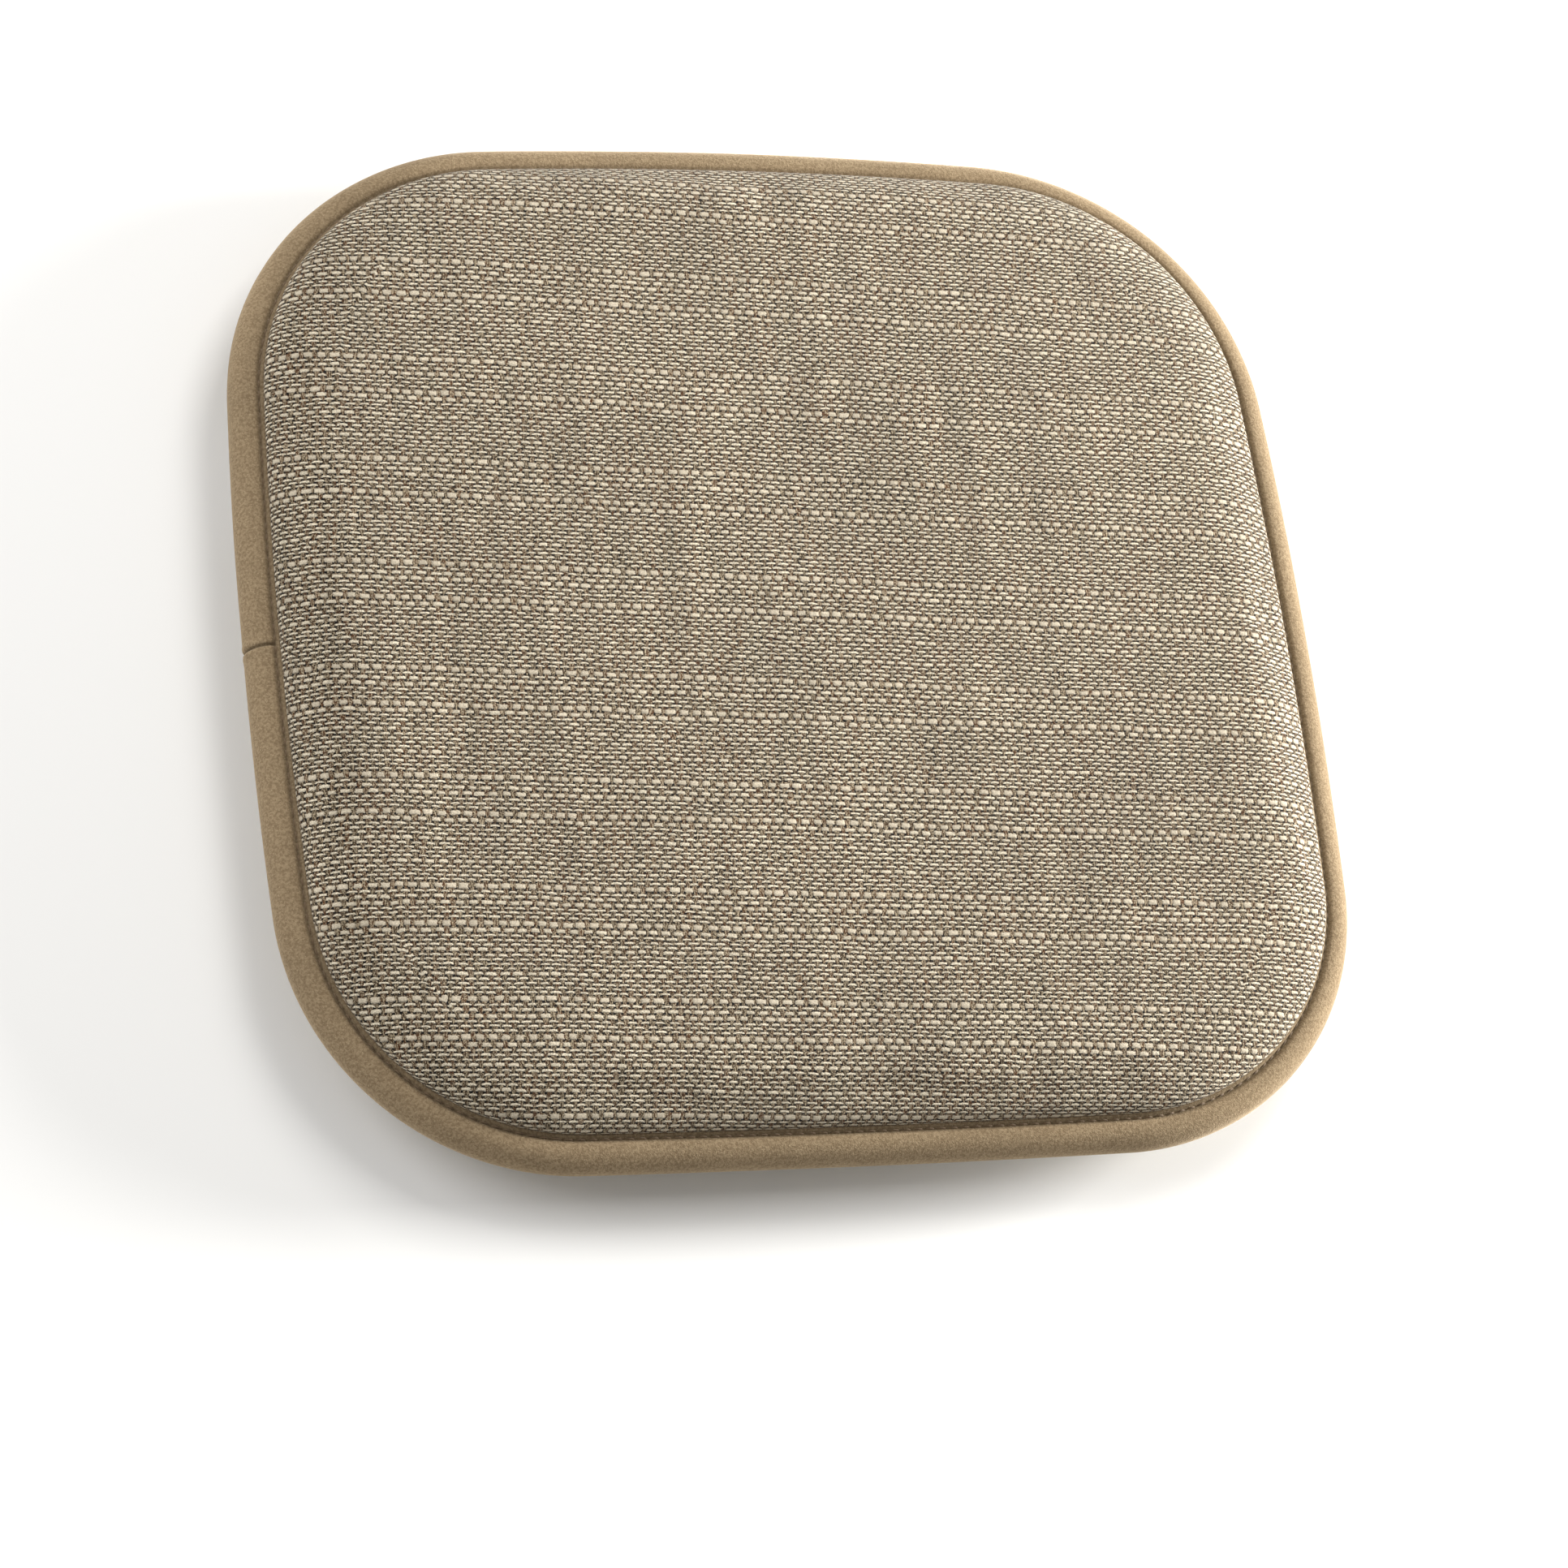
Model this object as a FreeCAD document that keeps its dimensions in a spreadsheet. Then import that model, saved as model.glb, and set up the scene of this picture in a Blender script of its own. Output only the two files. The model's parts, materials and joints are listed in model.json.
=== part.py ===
"""Chair seat pad: a foam slab between a woven top cover and a cream bottom cover, closed all round by a
fat velvet edge binding over a filler cord, with the seams' threads and a folded care label.

The pad lies flat on z = 0, top face up. The wide front edge faces -Y. Millimetres.
Every cross-section is drawn in a plane that cuts the front edge: "inset" is the distance inwards from the
pad's outermost edge, "height" is the distance above the floor. The same section runs all round the outline.
"""

import FreeCAD, Part
import math
import os
import Sketcher

SIZES = {
    # outline, seen from above: four corner arcs joined by four long side arcs
    "overall_depth": 406.0,
    "front_corner_x": 100.2,
    "front_corner_radius": 102.4,
    "back_corner_x": 92.2,
    "back_corner_radius": 110.7,
    "side_arc_radius": 2130.0,
    "front_arc_radius": 6063.0,
    "back_arc_radius": 1931.0,
    # heights of the whole pad
    "pad_height": 42.0,
    "seam_height": 21.0,
    # edge binding: a velvet tube with a stitched tail above and below
    "tube_radius": 8.5,
    "velvet_thickness": 1.2,
    "groove_angle": 61.0,
    "tail_inset": 15.6,
    "margin_angle": 88.0,
    "filler_radius": 6.6,
    "filler_inner_radius": 6.0,
    "thread_radius": 0.35,
    "splice_y": -4.5,
    "splice_thread_radius": 0.25,
    "splice_thread_turn": 170.0,
    # covers and foam
    "cover_thickness": 1.1,
    "layer_gap": 0.1,
    "crown_inset": 60.0,
    "crown_angle": 15.0,
    "shoulder_angle": 60.0,
    "top_crown_radius": 121.2,
    "top_shoulder_radius": 20.3,
    "bottom_crown_radius": 65.2,
    "bottom_shoulder_radius": 24.4,
    "bottom_flat_inset": 48.0,
    # care label, folded in two, caught in the lower groove of the left side
    "label_x": -190.6,
    "label_y": 72.0,
    "label_turn": -2.1,
    "label_seam_height": 12.4,
    "label_width": 50.0,
    "label_start": 0.6,
    "label_end": 20.0,
    "label_leaf": 0.2,
    "label_half_gap": 0.1,
    "label_slope": 36.0,
}

doc = FreeCAD.newDocument("seat_pad")
sheet = doc.addObject("Spreadsheet::Sheet", "dims")
for row, (alias, number) in enumerate(SIZES.items(), start=1):
    sheet.set(f"A{row}", alias)
    sheet.set(f"B{row}", str(number))
    sheet.setAlias(f"B{row}", alias)
doc.recompute()


class Measure:
    """A length worked out from the sheet: the formula that FreeCAD keeps and its value for the first drawing."""

    def __init__(self, formula, value):
        self.formula = formula
        self.value = value

    def __add__(self, other):
        return Measure(f"({self.formula} + {other.formula})", self.value + other.value)

    def __sub__(self, other):
        return Measure(f"({self.formula} - {other.formula})", self.value - other.value)

    def __mul__(self, other):
        return Measure(f"({self.formula} * {other.formula})", self.value * other.value)

    def sine(self):
        return Measure(f"sin({self.formula})", math.sin(math.radians(self.value)))

    def cosine(self):
        return Measure(f"cos({self.formula})", math.cos(math.radians(self.value)))

    def square_root(self):
        return Measure(f"sqrt({self.formula})", math.sqrt(self.value))


def dim(alias):
    return Measure(f"dims.{alias}", float(sheet.get(alias)))


def plain(number):
    return Measure(f"({number})", float(number))


ZERO = plain(0)
HALF_DEPTH = dim("overall_depth") * plain(0.5)
EDGE_OFFSET = {"x": ZERO - HALF_DEPTH}


def corner_y(arc_radius, corner_radius, corner_x):
    """How far a corner's centre is from the X axis, so that the edge arc's crest is half the depth away."""
    reach = arc_radius - corner_radius
    rise = (reach * reach - corner_x * corner_x).square_root()
    return HALF_DEPTH - arc_radius + rise


FRONT_CORNER_Y = corner_y(dim("front_arc_radius"), dim("front_corner_radius"), dim("front_corner_x"))
BACK_CORNER_Y = corner_y(dim("back_arc_radius"), dim("back_corner_radius"), dim("back_corner_x"))


# ---------------------------------------------------------------- sketches

def new_body(name):
    body = doc.addObject("PartDesign::Body", name)
    body.Label = name
    return body


def new_sketch(body, name, plane_role, offset=None):
    """A sketch on one of the body's own origin planes, moved by the Measures in offset."""
    plane = next(item for item in body.Origin.OriginFeatures if item.Role == plane_role)
    sketch = body.newObject("Sketcher::SketchObject", f"{body.Name}_{name}")
    sketch.AttachmentSupport = [(plane, "")]
    sketch.MapMode = "FlatFace"
    for letter, measure in (offset or {}).items():
        sketch.setExpression(f".AttachmentOffset.Base.{letter}", measure.formula)
    return sketch


def bind(sketch, constraint, measure):
    index = sketch.addConstraint(constraint)
    sketch.setExpression(f"Constraints[{index}]", measure.formula)


def bind_point(sketch, edge, end, point):
    """Fix one end (1 start, 2 end, 3 centre) of an edge at a point of two Measures."""
    bind(sketch, Sketcher.Constraint("DistanceX", -1, 1, edge, end, point[0].value), point[0])
    bind(sketch, Sketcher.Constraint("DistanceY", -1, 1, edge, end, point[1].value), point[1])


def side_centre(first, second, reach_first, reach_second):
    """Centre of a long side arc from its distances to two corner centres: the choice nearer the pad's middle."""
    along = second - first
    gap = along.Length
    step = (reach_first ** 2 - reach_second ** 2 + gap ** 2) / (2 * gap)
    height = math.sqrt(reach_first ** 2 - step ** 2)
    along.normalize()
    across = FreeCAD.Vector(-along.y, along.x, 0)
    return first + along * step + across * height


def outline_sketch(body, name, inset, height):
    """The pad's outline as nine tangent arcs, moved inwards by inset. It starts at the middle of the front."""
    sketch = new_sketch(body, name, "XY_Plane", {"z": height})
    corners = [
        (dim("front_corner_x"), ZERO - FRONT_CORNER_Y, dim("front_corner_radius")),
        (dim("back_corner_x"), BACK_CORNER_Y, dim("back_corner_radius")),
        (ZERO - dim("back_corner_x"), BACK_CORNER_Y, dim("back_corner_radius")),
        (ZERO - dim("front_corner_x"), ZERO - FRONT_CORNER_Y, dim("front_corner_radius")),
    ]
    sides = [dim("side_arc_radius"), dim("back_arc_radius"), dim("side_arc_radius"), dim("front_arc_radius")]
    points = [FreeCAD.Vector(x.value, y.value, 0) for x, y, radius in corners]
    centres = []
    for number, side in enumerate(sides):
        following = (number + 1) % 4
        first_reach = side.value - corners[number][2].value
        second_reach = side.value - corners[following][2].value
        centres.append(side_centre(points[number], points[following], first_reach, second_reach))

    def heading(start, end):
        return math.atan2(end.y - start.y, end.x - start.x)

    arcs = []
    front = heading(centres[3], points[0])
    arcs.append((centres[3], sides[3], -math.pi / 2, front))
    for number in range(4):
        turn_in = heading(centres[number - 1], points[number])
        turn_out = heading(centres[number], points[number])
        arcs.append((points[number], corners[number][2], turn_in, turn_out))
        last = -math.pi / 2 if number == 3 else heading(centres[number], points[(number + 1) % 4])
        arcs.append((centres[number], sides[number], turn_out, last))
    for centre, radius, start, end in arcs:
        circle = Part.Circle(centre, FreeCAD.Vector(0, 0, 1), radius.value - inset.value)
        while end < start:
            end += 2 * math.pi
        sketch.addGeometry(Part.ArcOfCircle(circle, start, end), False)
    for number, (centre, radius, start, end) in enumerate(arcs):
        following = (number + 1) % len(arcs)
        sketch.addConstraint(Sketcher.Constraint("Tangent", number, 2, following, 1))
        bind(sketch, Sketcher.Constraint("Radius", number, radius.value - inset.value), radius - inset)
    for number in range(4):
        bind_point(sketch, 2 * number + 1, 3, corners[number][:2])
    sketch.addConstraint(Sketcher.Constraint("PointOnObject", 0, 1, -2))
    return sketch


def section_sketch(body, path, plane_role="YZ_Plane", offset=EDGE_OFFSET):
    """A closed section from its corner points, by default (inset, height) in the plane across the front edge.

    A path entry may carry an arc radius and a bend (+1 anticlockwise, -1 clockwise) for the edge that leaves it.
    """
    sketch = new_sketch(body, "section", plane_role, offset)
    count = len(path)
    clockwise = [len(entry) == 4 and entry[3] < 0 for entry in path]
    points = [FreeCAD.Vector(entry[0].value, entry[1].value, 0) for entry in path]
    for number, entry in enumerate(path):
        start = points[number]
        end = points[(number + 1) % count]
        if len(entry) == 2:
            sketch.addGeometry(Part.LineSegment(start, end), False)
        else:
            if clockwise[number]:
                start, end = end, start
            sketch.addGeometry(short_arc(start, end, entry[2].value), False)
    for number, entry in enumerate(path):
        before = (number - 1) % count
        leaving = 2 if clockwise[number] else 1
        arriving = 1 if clockwise[before] else 2
        sketch.addConstraint(Sketcher.Constraint("Coincident", before, arriving, number, leaving))
        bind_point(sketch, number, leaving, entry[:2])
        if len(entry) == 4:
            bind(sketch, Sketcher.Constraint("Radius", number, entry[2].value), entry[2])
    return sketch


def short_arc(start, end, radius):
    """The arc of under half a turn that runs anticlockwise from start to end."""
    chord = end - start
    to_centre = math.sqrt(radius ** 2 - (chord.Length / 2) ** 2)
    left = FreeCAD.Vector(-chord.y, chord.x, 0).normalize()
    centre = (start + end) * 0.5 + left * to_centre
    first = math.atan2(start.y - centre.y, start.x - centre.x)
    last = math.atan2(end.y - centre.y, end.x - centre.x)
    if last < first:
        last += 2 * math.pi
    return Part.ArcOfCircle(Part.Circle(centre, FreeCAD.Vector(0, 0, 1), radius), first, last)


# ---------------------------------------------------------------- solids

def sweep_section(body, profile):
    """Carry a closed section right round the pad's outline."""
    spine = outline_sketch(body, "spine", dim("tube_radius"), dim("seam_height"))
    ring = body.newObject("PartDesign::AdditivePipe", f"{body.Name}_ring")
    ring.Profile = profile
    ring.Spine = spine
    body.Tip = ring


def circle_sketch(body, centre, radius):
    sketch = new_sketch(body, "section", "YZ_Plane", EDGE_OFFSET)
    middle = FreeCAD.Vector(centre[0].value, centre[1].value, 0)
    sketch.addGeometry(Part.Circle(middle, FreeCAD.Vector(0, 0, 1), radius.value), False)
    bind_point(sketch, 0, 3, centre)
    bind(sketch, Sketcher.Constraint("Radius", 0, radius.value), radius)
    return sketch


def fill_middle(body, bottom, top):
    """The flat middle of a cushion layer, inside the swept ring."""
    sketch = outline_sketch(body, "middle", dim("crown_inset"), bottom)
    pad = body.newObject("PartDesign::Pad", f"{body.Name}_middle_pad")
    pad.Profile = sketch
    pad.setExpression("Length", (top - bottom).formula)
    body.Tip = pad


def tube_point(radius, angle, side):
    """A point at a radius from the tube's centre line. side is +1 above the seam and -1 below it."""
    across = radius * angle.cosine()
    up = radius * angle.sine() * plain(side)
    return dim("tube_radius") + across, dim("seam_height") + up


class Cushion:
    """One face of the pad as a curve of two arcs: a tight shoulder by the binding, then a long crown.

    side is +1 for the top face and -1 for the underside; depth is the distance below the face's surface.
    """

    def __init__(self, side, flat_inset, crown_radius, shoulder_radius, surface):
        self.side = side
        self.flat_inset = flat_inset
        self.crown_radius = crown_radius
        self.shoulder_radius = shoulder_radius
        self.surface = surface
        self.crown_slope = dim("crown_angle")
        self.shoulder_slope = dim("shoulder_angle")

    def height(self, drop):
        return self.surface - drop * plain(self.side)

    def flat_point(self, depth):
        return self.flat_inset, self.height(depth)

    def turn_point(self, depth):
        reach = self.crown_radius - depth
        across = reach * self.crown_slope.sine()
        return self.flat_inset - across, self.height(self.crown_radius - reach * self.crown_slope.cosine())

    def edge_point(self, depth):
        spare = self.crown_radius - self.shoulder_radius
        reach = self.shoulder_radius - depth
        across = spare * self.crown_slope.sine() + reach * self.shoulder_slope.sine()
        drop = self.crown_radius - spare * self.crown_slope.cosine() - reach * self.shoulder_slope.cosine()
        return self.flat_inset - across, self.height(drop)


TOP = Cushion(1, dim("crown_inset"), dim("top_crown_radius"), dim("top_shoulder_radius"), dim("pad_height"))
BOTTOM = Cushion(-1, dim("bottom_flat_inset"), dim("bottom_crown_radius"), dim("bottom_shoulder_radius"), ZERO)

GROOVE_ANGLE = dim("groove_angle")
VELVET_INSIDE = dim("tube_radius") - dim("velvet_thickness")
MARGIN_OUTSIDE = VELVET_INSIDE - dim("layer_gap")
MARGIN_INSIDE = MARGIN_OUTSIDE - dim("cover_thickness")
UPRIGHT = plain(90)


def make_cover(name, face):
    """A cover: its margin over the filler cord, its way under the binding's tail, its shoulder and its crown."""
    body = new_body(name)
    thickness = dim("cover_thickness")
    margin_end = dim("margin_angle")
    outward = -face.side
    path = [
        (*tube_point(MARGIN_OUTSIDE, margin_end, face.side), MARGIN_OUTSIDE, outward),
        tube_point(MARGIN_OUTSIDE, GROOVE_ANGLE, face.side),
        (*face.edge_point(ZERO), face.shoulder_radius, outward),
        (*face.turn_point(ZERO), face.crown_radius, outward),
        face.flat_point(ZERO),
    ]
    if face is BOTTOM:
        path.append((dim("crown_inset"), face.height(ZERO)))
        path.append((dim("crown_inset"), face.height(thickness)))
    path += [
        (*face.flat_point(thickness), face.crown_radius - thickness, -outward),
        (*face.turn_point(thickness), face.shoulder_radius - thickness, -outward),
        face.edge_point(thickness),
        (*tube_point(MARGIN_INSIDE, GROOVE_ANGLE, face.side), MARGIN_INSIDE, -outward),
        tube_point(MARGIN_INSIDE, margin_end, face.side),
    ]
    sweep_section(body, section_sketch(body, path))
    lower, upper = sorted((face.height(ZERO), face.height(thickness)), key=lambda level: level.value)
    fill_middle(body, lower, upper)
    return body


def make_foam():
    """The foam slab, which fills the space between the two covers."""
    body = new_body("foam_core")
    skin = dim("cover_thickness") + dim("layer_gap")
    path = [
        (*TOP.edge_point(skin), TOP.shoulder_radius - skin, -1),
        (*TOP.turn_point(skin), TOP.crown_radius - skin, -1),
        TOP.flat_point(skin),
        (dim("crown_inset"), BOTTOM.height(skin)),
        (*BOTTOM.flat_point(skin), BOTTOM.crown_radius - skin, -1),
        (*BOTTOM.turn_point(skin), BOTTOM.shoulder_radius - skin, -1),
        BOTTOM.edge_point(skin),
    ]
    sweep_section(body, section_sketch(body, path))
    fill_middle(body, skin, dim("pad_height") - skin)
    return body


def tail_corners(face):
    """Free edge of the binding's tail on one face: its corner on the cover and its corner in the open."""
    height = face.edge_point(ZERO)[1]
    lift = dim("velvet_thickness") * plain(face.side)
    return (dim("tail_inset"), height), (dim("tail_inset"), height + lift)


def make_binding():
    """The velvet strip: wrapped round the cord, pinched at a groove above and below, with a flat tail beyond."""
    body = new_body("edge_binding")
    outside = dim("tube_radius")
    thickness = dim("velvet_thickness")
    upper_under, upper_over = tail_corners(TOP)
    lower_under, lower_over = tail_corners(BOTTOM)
    path = [
        (ZERO, dim("seam_height"), outside, -1),
        tube_point(outside, GROOVE_ANGLE, 1),
        upper_over,
        upper_under,
        (*tube_point(VELVET_INSIDE, GROOVE_ANGLE, 1), VELVET_INSIDE, 1),
        (thickness, dim("seam_height"), VELVET_INSIDE, 1),
        tube_point(VELVET_INSIDE, GROOVE_ANGLE, -1),
        lower_under,
        lower_over,
        (*tube_point(outside, GROOVE_ANGLE, -1), outside, -1),
    ]
    sweep_section(body, section_sketch(body, path))
    return body


def make_filler():
    """The soft cord inside the tube: a little thinner on its inner half, where the covers' margins lie on it."""
    body = new_body("filler_cord")
    outer = dim("filler_radius")
    inner = dim("filler_inner_radius")
    centre = dim("tube_radius")
    middle = dim("seam_height")
    path = [
        (*tube_point(inner, UPRIGHT, 1), inner, -1),
        (centre + inner, middle, inner, -1),
        tube_point(inner, UPRIGHT, -1),
        (*tube_point(outer, UPRIGHT, -1), outer, -1),
        (centre - outer, middle, outer, -1),
        tube_point(outer, UPRIGHT, 1),
    ]
    sweep_section(body, section_sketch(body, path))
    return body


def make_edge_thread(name, side):
    """The topstitching thread, which lies in the groove between the tube and the tail."""
    body = new_body(name)
    inset, height = tube_point(dim("tube_radius"), GROOVE_ANGLE, side)
    lift = (dim("thread_radius") + dim("layer_gap")) * plain(side)
    sweep_section(body, circle_sketch(body, (inset, height + lift), dim("thread_radius")))
    return body


def make_splice_thread():
    """The thread that joins the strip's two ends: most of half a turn inside the tube, on the left side."""
    thread = doc.addObject("Part::Torus", "splice_thread")
    thread.Label = "splice_thread"
    reach = VELVET_INSIDE - dim("layer_gap") - dim("splice_thread_radius")
    thread.setExpression("Radius1", reach.formula)
    thread.setExpression("Radius2", "dims.splice_thread_radius")
    thread.setExpression("Angle3", "dims.splice_thread_turn")
    corners = [FreeCAD.Vector(-dim("back_corner_x").value, BACK_CORNER_Y.value, 0)]
    corners.append(FreeCAD.Vector(-dim("front_corner_x").value, -FRONT_CORNER_Y.value, 0))
    side = dim("side_arc_radius").value
    reaches = [side - dim("back_corner_radius").value, side - dim("front_corner_radius").value]
    centre = side_centre(*corners, *reaches)
    across = side - dim("tube_radius").value
    along = dim("splice_y").value - centre.y
    left = centre.x - math.sqrt(across ** 2 - along ** 2)
    start_gap = 90 - dim("splice_thread_turn").value / 2
    upright = FreeCAD.Rotation(FreeCAD.Vector(0, 0, 1), FreeCAD.Vector(-1, 0, 0), FreeCAD.Vector(0, -1, 0), "ZXY")
    turned = upright * FreeCAD.Rotation(FreeCAD.Vector(0, 0, 1), start_gap)
    thread.Placement = FreeCAD.Placement(
        FreeCAD.Vector(left, dim("splice_y").value, dim("seam_height").value), turned
    )
    return thread


def make_label():
    """The care label: a ribbon folded in two, its leaves side by side, sloping in under the pad from the seam."""
    body = new_body("care_label")
    start = dim("label_start")
    inside = dim("label_half_gap")
    outside = inside + dim("label_leaf")
    fold = dim("label_end") - outside
    path = [
        (start, outside),
        (fold, outside, outside, -1),
        (fold + outside, ZERO, outside, -1),
        (fold, ZERO - outside),
        (start, ZERO - outside),
        (start, ZERO - inside),
        (fold, ZERO - inside, inside, 1),
        (fold + inside, ZERO, inside, 1),
        (fold, inside),
        (start, inside),
    ]
    pad = body.newObject("PartDesign::Pad", "care_label_width")
    pad.Profile = section_sketch(body, path, "XZ_Plane", {})
    pad.setExpression("Length", "dims.label_width")
    pad.Midplane = True
    body.Tip = pad
    turn = FreeCAD.Rotation(FreeCAD.Vector(0, 0, 1), dim("label_turn").value)
    slope = FreeCAD.Rotation(FreeCAD.Vector(0, 1, 0), dim("label_slope").value)
    seam = FreeCAD.Vector(dim("label_x").value, dim("label_y").value, dim("label_seam_height").value)
    body.Placement = FreeCAD.Placement(seam, turn * slope)
    return body


def check_and_export(pieces):
    """Stop on any failed object or bad solid, then write one STEP file for each piece."""
    doc.recompute()
    failed = [item.Name for item in doc.Objects if "Invalid" in item.State or "Error" in item.State]
    if failed:
        raise RuntimeError(f"objects that failed: {failed}")
    for piece in pieces:
        shape = piece.Shape
        if shape.isNull() or not shape.isValid() or len(shape.Solids) != 1:
            raise RuntimeError(f"{piece.Label} isn't one valid solid")
    os.makedirs("parts", exist_ok=True)
    for piece in pieces:
        piece.Shape.exportStep(f"parts/{piece.Label}.step")
        print(f"{piece.Label}: {piece.Shape.Volume / 1000:.2f} cm3")


PIECES = [
    make_foam(),
    make_filler(),
    make_cover("top_cover", TOP),
    make_cover("bottom_cover", BOTTOM),
    make_binding(),
    make_edge_thread("top_edge_stitching", 1),
    make_edge_thread("bottom_edge_stitching", -1),
    make_splice_thread(),
    make_label(),
]
check_and_export(PIECES)
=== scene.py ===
"""Looks of the chair seat pad: slub-woven top, cream underside, velvet edge binding, stitches and care label.

Everything is in metres in the frame's own axes. Sections are written in millimetres as (inset, height):
inset is the distance inwards from the pad's outermost edge, and height is the distance above the floor.
"""

import json
import math

import bpy
import numpy as np
from mathutils import Matrix, Vector


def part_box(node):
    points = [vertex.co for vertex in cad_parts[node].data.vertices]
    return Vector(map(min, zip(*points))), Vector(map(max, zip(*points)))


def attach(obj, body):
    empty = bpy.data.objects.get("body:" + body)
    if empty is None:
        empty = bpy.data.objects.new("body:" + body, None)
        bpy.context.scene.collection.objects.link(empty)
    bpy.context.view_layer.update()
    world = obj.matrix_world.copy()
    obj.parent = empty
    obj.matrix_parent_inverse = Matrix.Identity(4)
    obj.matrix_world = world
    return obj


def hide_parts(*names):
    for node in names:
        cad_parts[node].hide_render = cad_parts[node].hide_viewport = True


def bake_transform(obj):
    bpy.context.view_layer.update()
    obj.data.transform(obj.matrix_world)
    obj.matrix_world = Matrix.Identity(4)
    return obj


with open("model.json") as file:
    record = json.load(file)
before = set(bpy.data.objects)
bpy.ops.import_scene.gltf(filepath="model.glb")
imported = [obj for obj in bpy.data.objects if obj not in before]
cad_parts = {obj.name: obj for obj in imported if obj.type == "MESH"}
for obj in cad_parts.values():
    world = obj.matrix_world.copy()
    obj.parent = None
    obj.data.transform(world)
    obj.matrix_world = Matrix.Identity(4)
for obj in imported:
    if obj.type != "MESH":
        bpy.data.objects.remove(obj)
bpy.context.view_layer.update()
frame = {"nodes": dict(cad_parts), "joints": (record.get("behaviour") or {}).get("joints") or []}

MM = 0.001

# ---------------------------------------------------------------- outline and sections, in millimetres

PAD_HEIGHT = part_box("top_cover")[1][2] / MM
SEAM_HEIGHT = PAD_HEIGHT / 2
HALF_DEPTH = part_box("edge_binding")[1][1] / MM

# The outline has four round corners, placed by their centres' X, joined by four long and almost flat arcs.
FRONT_CORNER_X = 100.2
FRONT_CORNER_RADIUS = 102.4
BACK_CORNER_X = 92.2
BACK_CORNER_RADIUS = 110.7
SIDE_ARC_RADIUS = 2130.0
FRONT_ARC_RADIUS = 6063.0
BACK_ARC_RADIUS = 1931.0

TUBE_RADIUS = 8.5
VELVET_THICKNESS = 1.2
CLOTH_THICKNESS = 0.9
SPLICE_Y = -4.5
STITCH_PITCH = 4.4


def corner_y(arc_radius, corner_radius, corner_x):
    """How far a corner's centre is from the X axis."""
    reach = arc_radius - corner_radius
    return HALF_DEPTH - arc_radius + math.sqrt(reach ** 2 - corner_x ** 2)


def side_centre(first, second, first_reach, second_reach):
    """Centre of a long side arc, from its distances to the two corner centres that it joins."""
    along = second - first
    gap = along.length
    step = (first_reach ** 2 - second_reach ** 2 + gap ** 2) / (2 * gap)
    away = math.sqrt(first_reach ** 2 - step ** 2)
    along.normalize()
    return first + along * step + Vector((-along.y, along.x)) * away


class Outline:
    """The pad's outermost edge, anticlockwise from the middle of its front.

    Places on it are given by the distance along the tube's centre line.
    """

    def __init__(self):
        front_y = corner_y(FRONT_ARC_RADIUS, FRONT_CORNER_RADIUS, FRONT_CORNER_X)
        back_y = corner_y(BACK_ARC_RADIUS, BACK_CORNER_RADIUS, BACK_CORNER_X)
        corners = [
            (Vector((FRONT_CORNER_X, -front_y)), FRONT_CORNER_RADIUS),
            (Vector((BACK_CORNER_X, back_y)), BACK_CORNER_RADIUS),
            (Vector((-BACK_CORNER_X, back_y)), BACK_CORNER_RADIUS),
            (Vector((-FRONT_CORNER_X, -front_y)), FRONT_CORNER_RADIUS),
        ]
        sides = [SIDE_ARC_RADIUS, BACK_ARC_RADIUS, SIDE_ARC_RADIUS, FRONT_ARC_RADIUS]
        centres = []
        for number, side in enumerate(sides):
            first, first_radius = corners[number]
            second, second_radius = corners[(number + 1) % 4]
            centres.append(side_centre(first, second, side - first_radius, side - second_radius))
        joins = []
        for number in range(4):
            corner = corners[number][0]
            turn_in = math.atan2(*(corner - centres[number - 1]).yx)
            turn_out = math.atan2(*(corner - centres[number]).yx)
            joins.append((turn_in, turn_out))
        arcs = [(centres[3], sides[3], -math.pi / 2, joins[0][0])]
        for number in range(4):
            turn_in, turn_out = joins[number]
            arcs.append((*corners[number], turn_in, turn_out))
            last = -math.pi / 2 if number == 3 else joins[number + 1][0]
            arcs.append((centres[number], sides[number], turn_out, last))
        self.arcs = []
        self.length = 0.0
        for centre, radius, start, end in arcs:
            while end < start - 1e-9:
                end += 2 * math.pi
            run = (radius - TUBE_RADIUS) * (end - start)
            self.arcs.append((self.length, run, centre, radius, start, end))
            self.length += run

    def at(self, distance):
        """(edge point, outward direction) at a distance along the tube's centre line."""
        distance %= self.length
        for begin, run, centre, radius, start, end in self.arcs:
            if distance <= begin + run:
                break
        angle = start + (end - start) * (distance - begin) / run
        outward = Vector((math.cos(angle), math.sin(angle)))
        return centre + outward * radius, outward

    def left_side_at(self, wanted_y):
        """The distance along the tube at which the left side passes wanted_y, found by halving."""
        low = self.length * 0.6
        high = self.length * 0.9
        for _ in range(60):
            middle = (low + high) / 2
            if self.at(middle)[0].y > wanted_y:
                low = middle
            else:
                high = middle
        return middle


outline = Outline()
SPLICE_AT = outline.left_side_at(SPLICE_Y)


def slow_wave(distance, seed, waves=(2, 3, 5, 8), roughness=0.7):
    """A smooth wave from -1 to 1 or so that closes on itself round the outline."""
    total = 0.0
    for number, count in enumerate(waves):
        phase = seed * 2.399 + number * 1.7
        total += roughness ** number * math.sin(2 * math.pi * count * distance / outline.length + phase)
    return total / 2


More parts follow.
